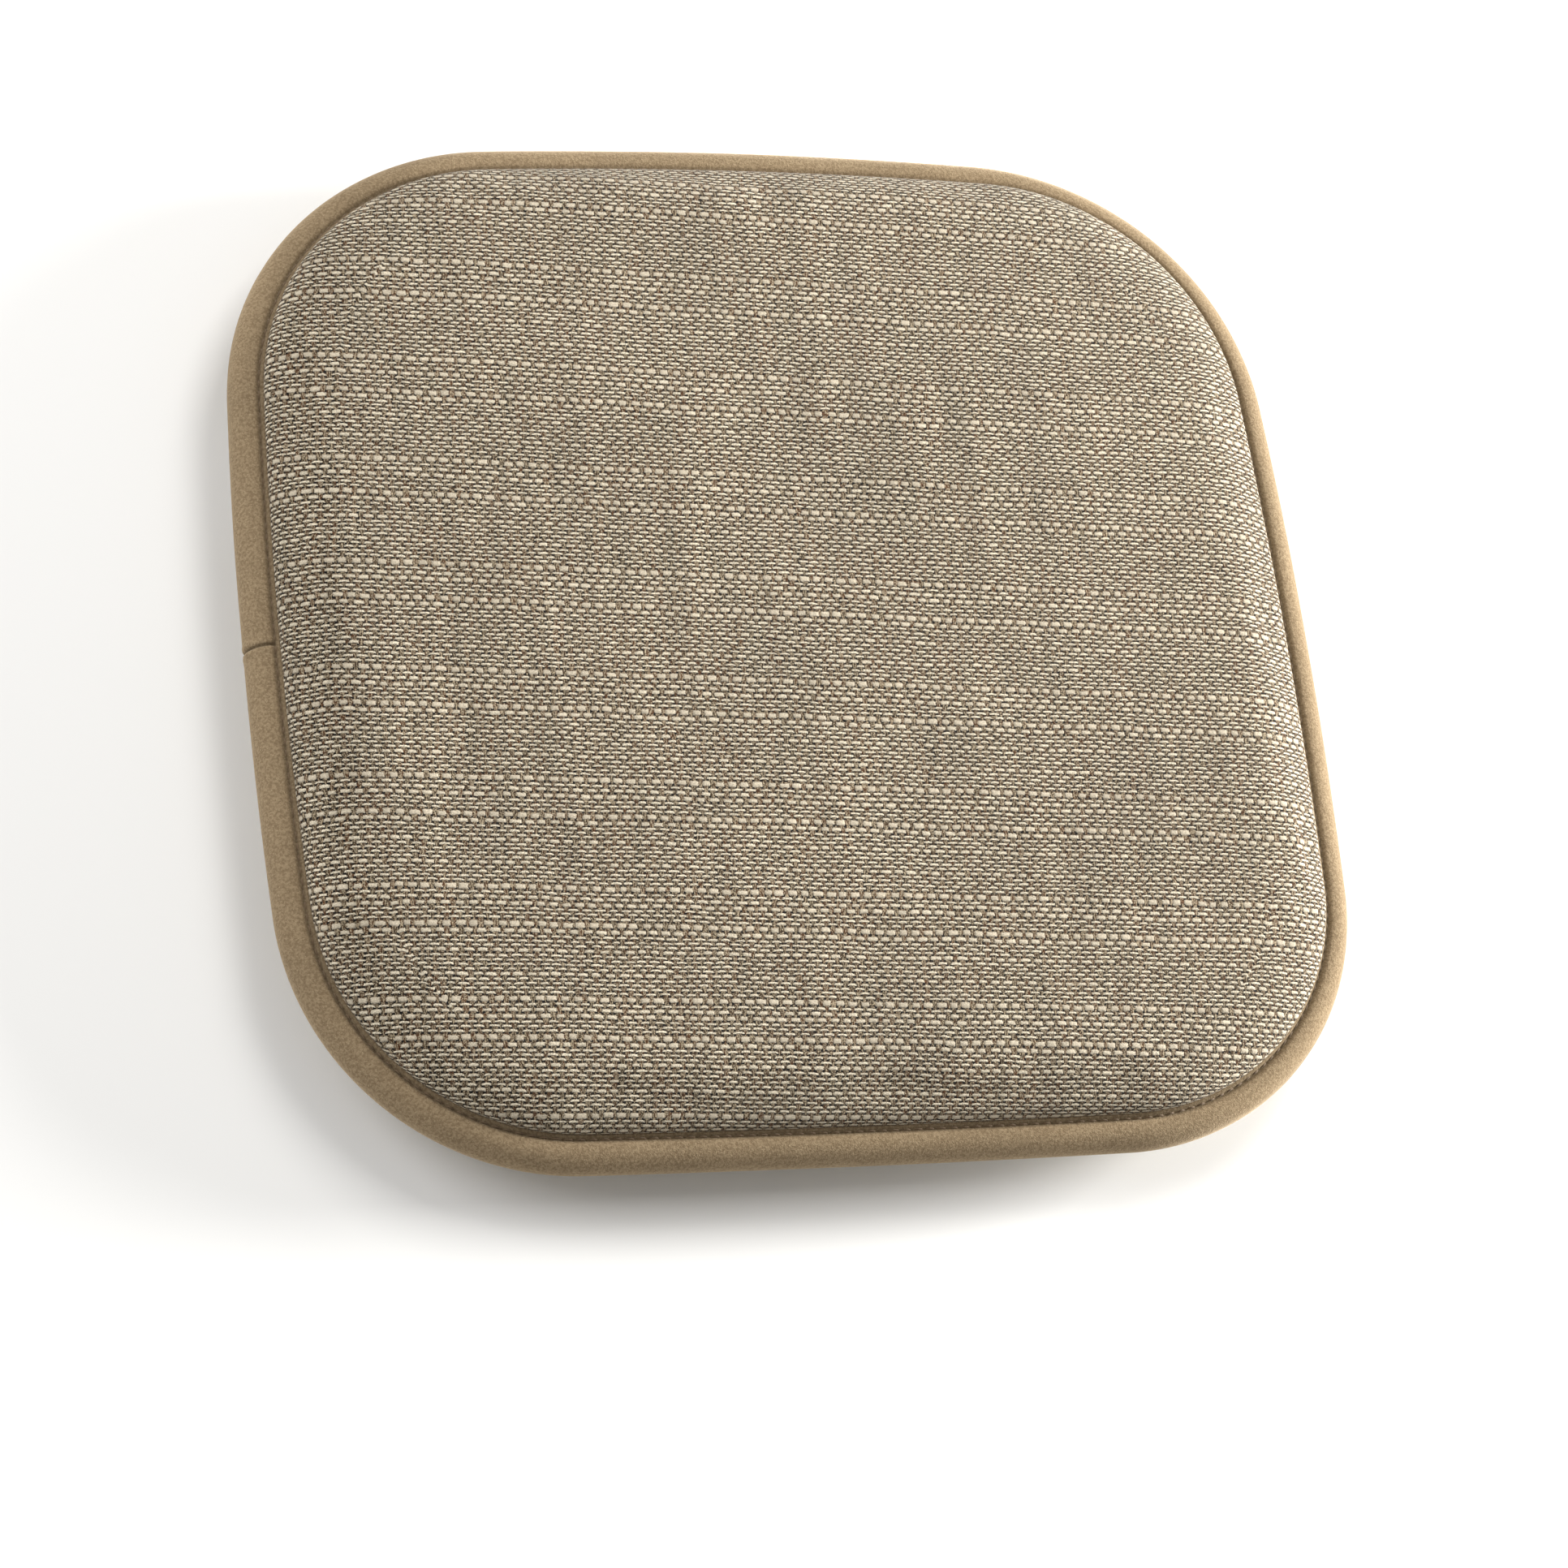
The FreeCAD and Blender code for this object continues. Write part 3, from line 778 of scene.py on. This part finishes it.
def slub_weave():
    """A plain weave of cream weft over brown warp, with thicker slub yarns at set rows of the repeat."""
    s = Shader("slub_weave", 0.9, specular=0.2, sheen=0.1)
    place, across, along = s.place("weave")

    # the yarns wander a little, front to back and side to side
    slow = s.less(s.noise(place, 0.03), 0.5)
    quick = s.less(s.noise(s.joined(across, along, 9.0), 0.16, 1.0), 0.5)
    along = s.add(along, s.times(slow, 1.6), s.times(quick, 0.55))
    side_slow = s.less(s.noise(s.joined(across, s.times(along, 0.6), 31.0), 0.05), 0.5)
    side_quick = s.less(s.noise(s.joined(across, along, 47.0), 0.25, 1.0), 0.5)
    across = s.add(across, s.times(side_slow, 3.0), s.times(side_quick, 1.1), 600.0)

    # rows of dashes, staggered from row to row, each with its own small chances
    row, height, extra = weft_rows(s, along)
    thick = s.math("DIVIDE", extra, THICK["A"])
    fade = s.noise(s.joined(s.times(across, 0.03), s.times(row, 7.31)), 1.0, 1.0)
    slub = s.times(thick, s.step(fade, 0.25, 0.6, 0.70, 1.0))
    odd = s.math("MODULO", row, 2.0)
    shift = s.add(s.times(odd, 0.5), s.times(s.chance(row, 5.0), 0.08))
    column_place = s.add(s.math("DIVIDE", across, DASH_PITCH), shift)
    column = s.math("FLOOR", column_place)
    luck = s.chance(column, row)
    second_luck = s.chance(row, s.add(column, 0.5))
    third_luck = s.chance(s.add(column, 7.25), row)
    slip = s.times(s.less(third_luck, 0.5), 0.14)
    from_middle = s.times(s.math("ABSOLUTE", s.add(s.math("FRACT", column_place), slip, -0.5)), 2.0)

    # the dash: where the weft lies over the warp. A thin one sits high in its row and droops at its ends.
    ragged = s.less(s.noise(s.joined(across, along, 12.0), 1.3, 2.0, 0.6), 0.5)
    length = s.add(0.58, s.times(luck, 0.16), s.times(slub, -0.03), s.times(ragged, 0.45))
    reach = s.math("DIVIDE", from_middle, length)
    end = s.math("MINIMUM", s.times(reach, reach), 1.3)
    centre = s.add(0.36, s.times(slub, 0.13), s.times(end, s.less(0.13, s.times(slub, 0.13))))
    centre = s.add(centre, s.times(s.less(second_luck, 0.5), 0.12))
    from_row = s.times(s.math("ABSOLUTE", s.less(height, centre)), 2.0)
    half_height = s.add(0.39, s.times(slub, 0.22), s.times(third_luck, 0.14), s.times(ragged, 0.60))
    lift = s.math("DIVIDE", from_row, half_height)
    edge = s.add(s.math("POWER", reach, 9.0), s.math("POWER", lift, 6.0))
    dash = s.step(edge, 1.5, 0.70)
    dome = s.less(1.0, s.times(s.math("POWER", s.math("MINIMUM", edge, 1.0), 0.5), 0.55))

    # under it: warp strands that run front to back, and painted shade: dark gaps at the dash's front corners
    corner = s.step(s.math("ABSOLUTE", s.less(reach, 0.90)), 0.40, 0.16)
    below = s.step(height, s.add(centre, 0.12), s.add(centre, 0.24))
    above = s.step(height, 0.18, 0.04)
    gap = s.times(s.math("MAXIMUM", below, s.times(above, 0.5)), s.add(0.04, s.times(corner, 0.96)))
    gap = s.math("MINIMUM", s.times(gap, s.less(1.5, s.times(s.step(from_middle, 0.84, 0.95), 1.2))), 1.0)
    strand = s.noise(s.joined(s.times(across, 2.6), s.times(along, 0.55), 5.0), 1.0, 2.0, 0.6)
    fibre = s.noise(s.joined(s.times(across, 0.8), s.times(along, 2.2), 2.0), 1.5, 3.0, 0.65)
    grit = s.noise(s.joined(across, along, 31.0), 1.9, 2.0, 0.6)
    speck = s.noise(s.joined(across, along, 83.0), 2.4, 1.0)
    pale_strand = s.step(s.add(s.times(strand, 0.70), s.times(grit, 0.30)), 0.475, 0.525)

    warp_tone = s.noise(s.joined(s.times(across, 0.35), s.times(along, 0.03), 4.0), 1.0, 2.0)
    patch = s.noise(s.joined(across, along, 50.0), 0.016, 2.0)
    streak = s.noise(s.joined(s.times(across, 0.09), s.times(along, 0.008), 70.0), 1.0, 3.0)

    red_brown = linear(112, 76, 47)
    taupe = linear(91, 72, 49)
    pale_warp = linear(203, 185, 154)
    # near black, for the painted shade in the gaps between the yarns
    painted_gap_shade = linear(9, 6, 3)
    cream = linear(241, 229, 204)
    smooth_cream = linear(216, 203, 180)
    warp = s.mix(s.step(warp_tone, 0.42, 0.58), taupe, red_brown)
    warp = s.mix(s.times(pale_strand, 0.85), warp, pale_warp)
    warp = s.shade(warp, s.step(grit, 0.30, 0.70, 0.40, 1.16))
    # painted shade: the gaps are filled with near black
    ground = s.mix(gap, warp, painted_gap_shade)
    weft = s.mix(slub, cream, smooth_cream)
    # painted light: each dash is lighter on its dome and darker towards the front of its row
    tone = s.add(0.64, s.times(luck, 0.16), s.times(fibre, 0.30), s.times(dome, 0.24), s.times(height, -0.20))
    weft = s.shade(weft, s.less(tone, s.times(slub, 0.05)))
    colour = s.mix(dash, ground, weft)
    colour = s.shade(colour, s.add(0.455, s.times(patch, 0.16), s.times(streak, 0.39)))
    colour = s.shade(colour, s.step(speck, 0.28, 0.68, s.add(0.50, s.times(slub, 0.28)), 1.20))

    relief = s.add(
        s.times(dash, dome, s.add(0.7, s.times(slub, 0.5))),
        s.times(s.less(1.0, dash), s.add(0.15, s.times(pale_strand, 0.30))),
        s.times(s.less(1.0, dash), gap, -0.35),
        s.times(fibre, 0.12),
        s.times(grit, 0.16),
    )
    return s.finish(colour, s.bump(relief, 0.45))


def velvet():
    """Short-pile velvet: a fine speckled nap, with painted shade down in the stitched grooves and the splice.
    """
    pile = linear(236, 214, 182)
    s = Shader("velvet", 0.95, specular=0.1, sheen=0.75, sheen_roughness=0.38, sheen_tint=pile)
    place = s.node("ShaderNodeTexCoord").outputs["Object"]
    pinch = s.node("ShaderNodeAttribute", attribute_name="pinch").outputs["Fac"]
    grain = s.noise(place, 2100.0, 1.0, 0.6)
    speckle = s.noise(place, 1000.0, 2.0, 0.6)
    cloud = s.noise(place, 26.0, 3.0)
    base = s.mix(s.step(speckle, 0.34, 0.68), linear(128, 109, 84), linear(154, 135, 107))
    base = s.mix(s.times(s.step(grain, 0.60, 0.74), 0.7), base, linear(180, 161, 130))
    base = s.shade(base, s.add(0.80, s.times(cloud, 0.30)))
    # painted shade: darker where the pinch says the velvet lies deep in a groove or the splice
    base = s.shade(base, s.less(1.0, s.times(pinch, 0.5)))
    relief = s.add(s.times(grain, 0.5), s.times(speckle, 0.5))
    return s.finish(base, s.bump(relief, 0.35))


def cream_cloth():
    """The underside's grip cloth: cream, with diagonal rows of small slanted pits."""
    s = Shader("cream_cloth", 0.8, specular=0.3, sheen=0.1)
    place, across, along = s.place("weave")
    rising = s.times(s.add(across, along), 0.7071)
    falling = s.times(s.less(across, along), 0.7071)
    row_place = s.math("DIVIDE", s.add(falling, 500.0), 2.0)
    row = s.math("FLOOR", row_place)
    from_row = s.times(s.math("ABSOLUTE", s.less(s.math("FRACT", row_place), 0.5)), 2.0)
    lean = s.times(s.math("FRACT", row_place), 0.45)
    stagger = s.times(s.math("MODULO", row, 2.0), 0.5)
    pit_place = s.add(s.math("DIVIDE", s.add(rising, 500.0), 1.5), lean, stagger)
    from_pit = s.times(s.math("ABSOLUTE", s.less(s.math("FRACT", pit_place), 0.5)), 2.0)
    pit = s.times(s.step(from_row, 0.62, 0.34), s.step(from_pit, 0.55, 0.25))
    fibre = s.noise(s.joined(across, along), 1.7, 3.0, 0.6)
    patch = s.noise(s.joined(across, along), 0.02, 2.0)
    cloth = s.shade(linear(226, 218, 197), s.add(0.82, s.times(fibre, 0.2), s.times(patch, 0.16)))
    # painted shade: the pits are darker than the cloth around them
    colour = s.mix(s.times(pit, 0.75), cloth, linear(176, 162, 130))
    rib = s.math("POWER", s.less(1.0, from_row), 2.0)
    relief = s.add(s.times(rib, 0.3), s.times(pit, -0.8), s.times(fibre, 0.25))
    return s.finish(colour, s.bump(relief, 0.3))


def thread(name, colour):
    """Spun thread, with a fine twist."""
    s = Shader(name, 0.7, specular=0.3, sheen=0.2)
    place = s.node("ShaderNodeTexCoord").outputs["Object"]
    twist = s.noise(place, 2600.0, 1.0)
    base = s.shade(colour, s.add(0.7, s.times(twist, 0.5)))
    return s.finish(base, s.bump(twist, 0.1))


def open_foam():
    """Cream open-cell foam."""
    s = Shader("open_foam", 0.95, specular=0.1)
    place = s.node("ShaderNodeTexCoord").outputs["Object"]
    cells = s.node("ShaderNodeTexVoronoi", {"Vector": place, "Scale": 700.0}).outputs[0]
    base = s.mix(s.step(cells, 0.1, 0.6), linear(196, 182, 146), linear(232, 222, 190))
    return s.finish(base, s.bump(cells, 0.5))


def wadding():
    """White wadding, in loose strands."""
    s = Shader("wadding", 0.95, specular=0.1, sheen=0.3)
    place = s.node("ShaderNodeTexCoord").outputs["Object"]
    strands = s.noise(place, 500.0, 4.0, 0.7)
    base = s.mix(strands, linear(205, 202, 194), linear(240, 238, 232))
    return s.finish(base, s.bump(strands, 0.6))


def satin_label():
    """White satin ribbon with a generic print of plain lines and bars, and no lettering."""
    s = Shader("satin_label", 0.42, specular=0.5, sheen=0.25)
    place, across, run = s.place("ribbon")
    ridge = s.math("SINE", s.times(run, 14.0))
    slub = s.noise(s.joined(s.times(across, 0.3), s.times(run, 4.0)), 1.0, 2.0)
    satin = s.shade(linear(243, 240, 234), s.add(0.90, s.times(slub, 0.14)))
    ink = 0.0
    # printed lines: middle and half height down the ribbon, left and right ends, and marks per millimetre
    printed_lines = (
        (4.2, 1.0, 9.0, 41.0, 2.6),
        (7.0, 0.35, 12.0, 36.0, 1.1),
        (13.0, 0.4, 7.0, 40.0, 1.5),
        (15.3, 0.35, 9.0, 33.0, 1.2),
    )
    for middle, half, left, right, grain in printed_lines:
        line = s.step(s.math("ABSOLUTE", s.less(run, middle)), half + 0.12, half - 0.12)
        line = s.times(line, s.step(across, left - 0.2, left + 0.2), s.step(across, right + 0.2, right - 0.2))
        marks = s.math("GREATER_THAN", s.chance(s.math("FLOOR", s.times(across, grain)), middle), 0.38)
        ink = s.math("MAXIMUM", ink, s.times(line, marks))
    block = s.step(s.math("ABSOLUTE", s.less(run, 10.0)), 1.15, 0.9)
    block = s.times(block, s.step(across, 7.8, 8.2), s.step(across, 42.2, 41.8))
    marks = s.math("GREATER_THAN", s.chance(s.math("FLOOR", s.times(across, 0.62)), 8.0), 0.25)
    warm = s.times(block, marks)
    colour = s.mix(s.times(ink, 0.62), satin, linear(120, 118, 116))
    colour = s.mix(s.times(warm, 0.6), colour, linear(226, 178, 132))
    return s.finish(colour, s.bump(s.times(ridge, 0.5), 0.03))


# ---------------------------------------------------------------- the pieces

def dress(obj, material, slot_name, body, *nodes):
    """Give a piece its material, hide the CAD pieces it stands for, and hang it on its body, if it rides on
    only one.
    """
    obj.data.materials.clear()
    obj.data.materials.append(material)
    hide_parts(*nodes)
    if body:
        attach(obj, body)


VELVET = velvet()
THREAD = thread("binding_thread", linear(112, 92, 68))

top = cloth_sheet("top_cloth", top_profile(), top_crown, 1, WEAVE_TURN)
settle_cloth(top, pressure=0.5, shrink=-0.004, cap=3.0)
solid_sheet(top, CLOTH_THICKNESS)
dress(top, slub_weave(), "slub_weave", "pad", "top_cover")

under = cloth_sheet("underside_cloth", under_profile(), under_flat, -1)
solid_sheet(under, CLOTH_THICKNESS)
dress(under, cream_cloth(), "cream_cloth", "pad", "bottom_cover")

binding = make_binding()
dress(binding, VELVET, "velvet", "pad", "edge_binding")

dress(make_edge_thread("top_stitches", 1), THREAD, "thread", "pad", "top_edge_stitching")
dress(make_edge_thread("under_stitches", -1), THREAD, "thread", "pad", "bottom_edge_stitching")

filler = make_filler()
dress(filler, wadding(), "cord_filler", "pad", "filler_cord")

foam = make_foam()
dress(foam, open_foam(), "foam", "pad", "foam_core")

# the splice's thread keeps its CAD shape
splice = frame["nodes"]["splice_thread"]
splice.data.materials.clear()
splice.data.materials.append(THREAD)

label = make_label()
dress(label, satin_label(), "satin_label", None, "care_label")
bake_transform(label)


# ---------------------------------------------------------------- floor, light and camera

def make_floor():
    """A plain pale floor, a hair below the pad so that the two surfaces never coincide."""
    floor = new_object("floor", [(-6, -6, 0), (6, -6, 0), (6, 6, 0), (-6, 6, 0)], [(0, 1, 2, 3)])
    floor.location.z = -0.0006
    s = Shader("floor_paint", 0.9, specular=0.1)
    place = s.node("ShaderNodeTexCoord").outputs["Object"]
    tone = s.mix(s.noise(place, 1.2), (0.90, 0.90, 0.89, 1), (0.93, 0.93, 0.92, 1))
    floor.data.materials.append(s.finish(tone, s.bump(s.noise(place, 40.0), 0.05)))


def make_light(name, azimuth, elevation, distance, size, watts, colour=(1, 1, 1)):
    """A square soft light that looks at the pad. Azimuth and elevation are where it stands, in degrees."""
    data = bpy.data.lights.new(name, "AREA")
    data.shape = "SQUARE"
    data.size = size
    data.energy = watts
    data.color = colour
    light = bpy.data.objects.new(name, data)
    bpy.context.scene.collection.objects.link(light)
    turn, tilt = math.radians(azimuth), math.radians(elevation)
    away = Vector((math.cos(turn) * math.cos(tilt), math.sin(turn) * math.cos(tilt), math.sin(tilt)))
    light.location = away * distance
    light.rotation_euler = away.to_track_quat("Z", "Y").to_euler()


def make_camera():
    """Looks down on the pad from its front left, rolled about its own axis."""
    azimuth = math.radians(-40.0)
    elevation = math.radians(62.58)
    roll = math.radians(35.87)
    aim = Vector((-10.8, -57.8, SEAM_HEIGHT)) * MM
    distance = 1.579
    level = math.cos(elevation)
    ahead = Vector((-math.sin(azimuth) * level, math.cos(azimuth) * level, -math.sin(elevation)))
    level_right = Vector((math.cos(azimuth), math.sin(azimuth), 0))
    level_up = level_right.cross(ahead)
    right = level_right * math.cos(roll) + level_up * math.sin(roll)
    upward = right.cross(ahead)
    turn = Matrix((right, upward, -ahead)).transposed().to_4x4()
    data = bpy.data.cameras.new("camera")
    data.lens = 99.7
    data.sensor_width = 36.0
    camera = bpy.data.objects.new("camera", data)
    bpy.context.scene.collection.objects.link(camera)
    camera.matrix_world = Matrix.Translation(aim - ahead * distance) @ turn
    bpy.context.scene.camera = camera


def make_world():
    """A dim and even warm white from all round."""
    world = bpy.data.worlds.new("studio")
    world.use_nodes = True
    world.node_tree.nodes["Background"].inputs[0].default_value = (1.0, 0.985, 0.96, 1)
    world.node_tree.nodes["Background"].inputs[1].default_value = 0.36
    bpy.context.scene.world = world


make_floor()
make_world()
make_light("key", 62, 54, 1.9, 0.9, 17, (1.0, 0.98, 0.95))
make_light("side", 4, 12, 1.8, 0.6, 86, (1.0, 0.99, 0.97))
make_light("fill", 160, 30, 2.0, 1.4, 24, (0.99, 0.99, 1.0))
make_camera()
bpy.context.scene.view_settings.view_transform = "Standard"
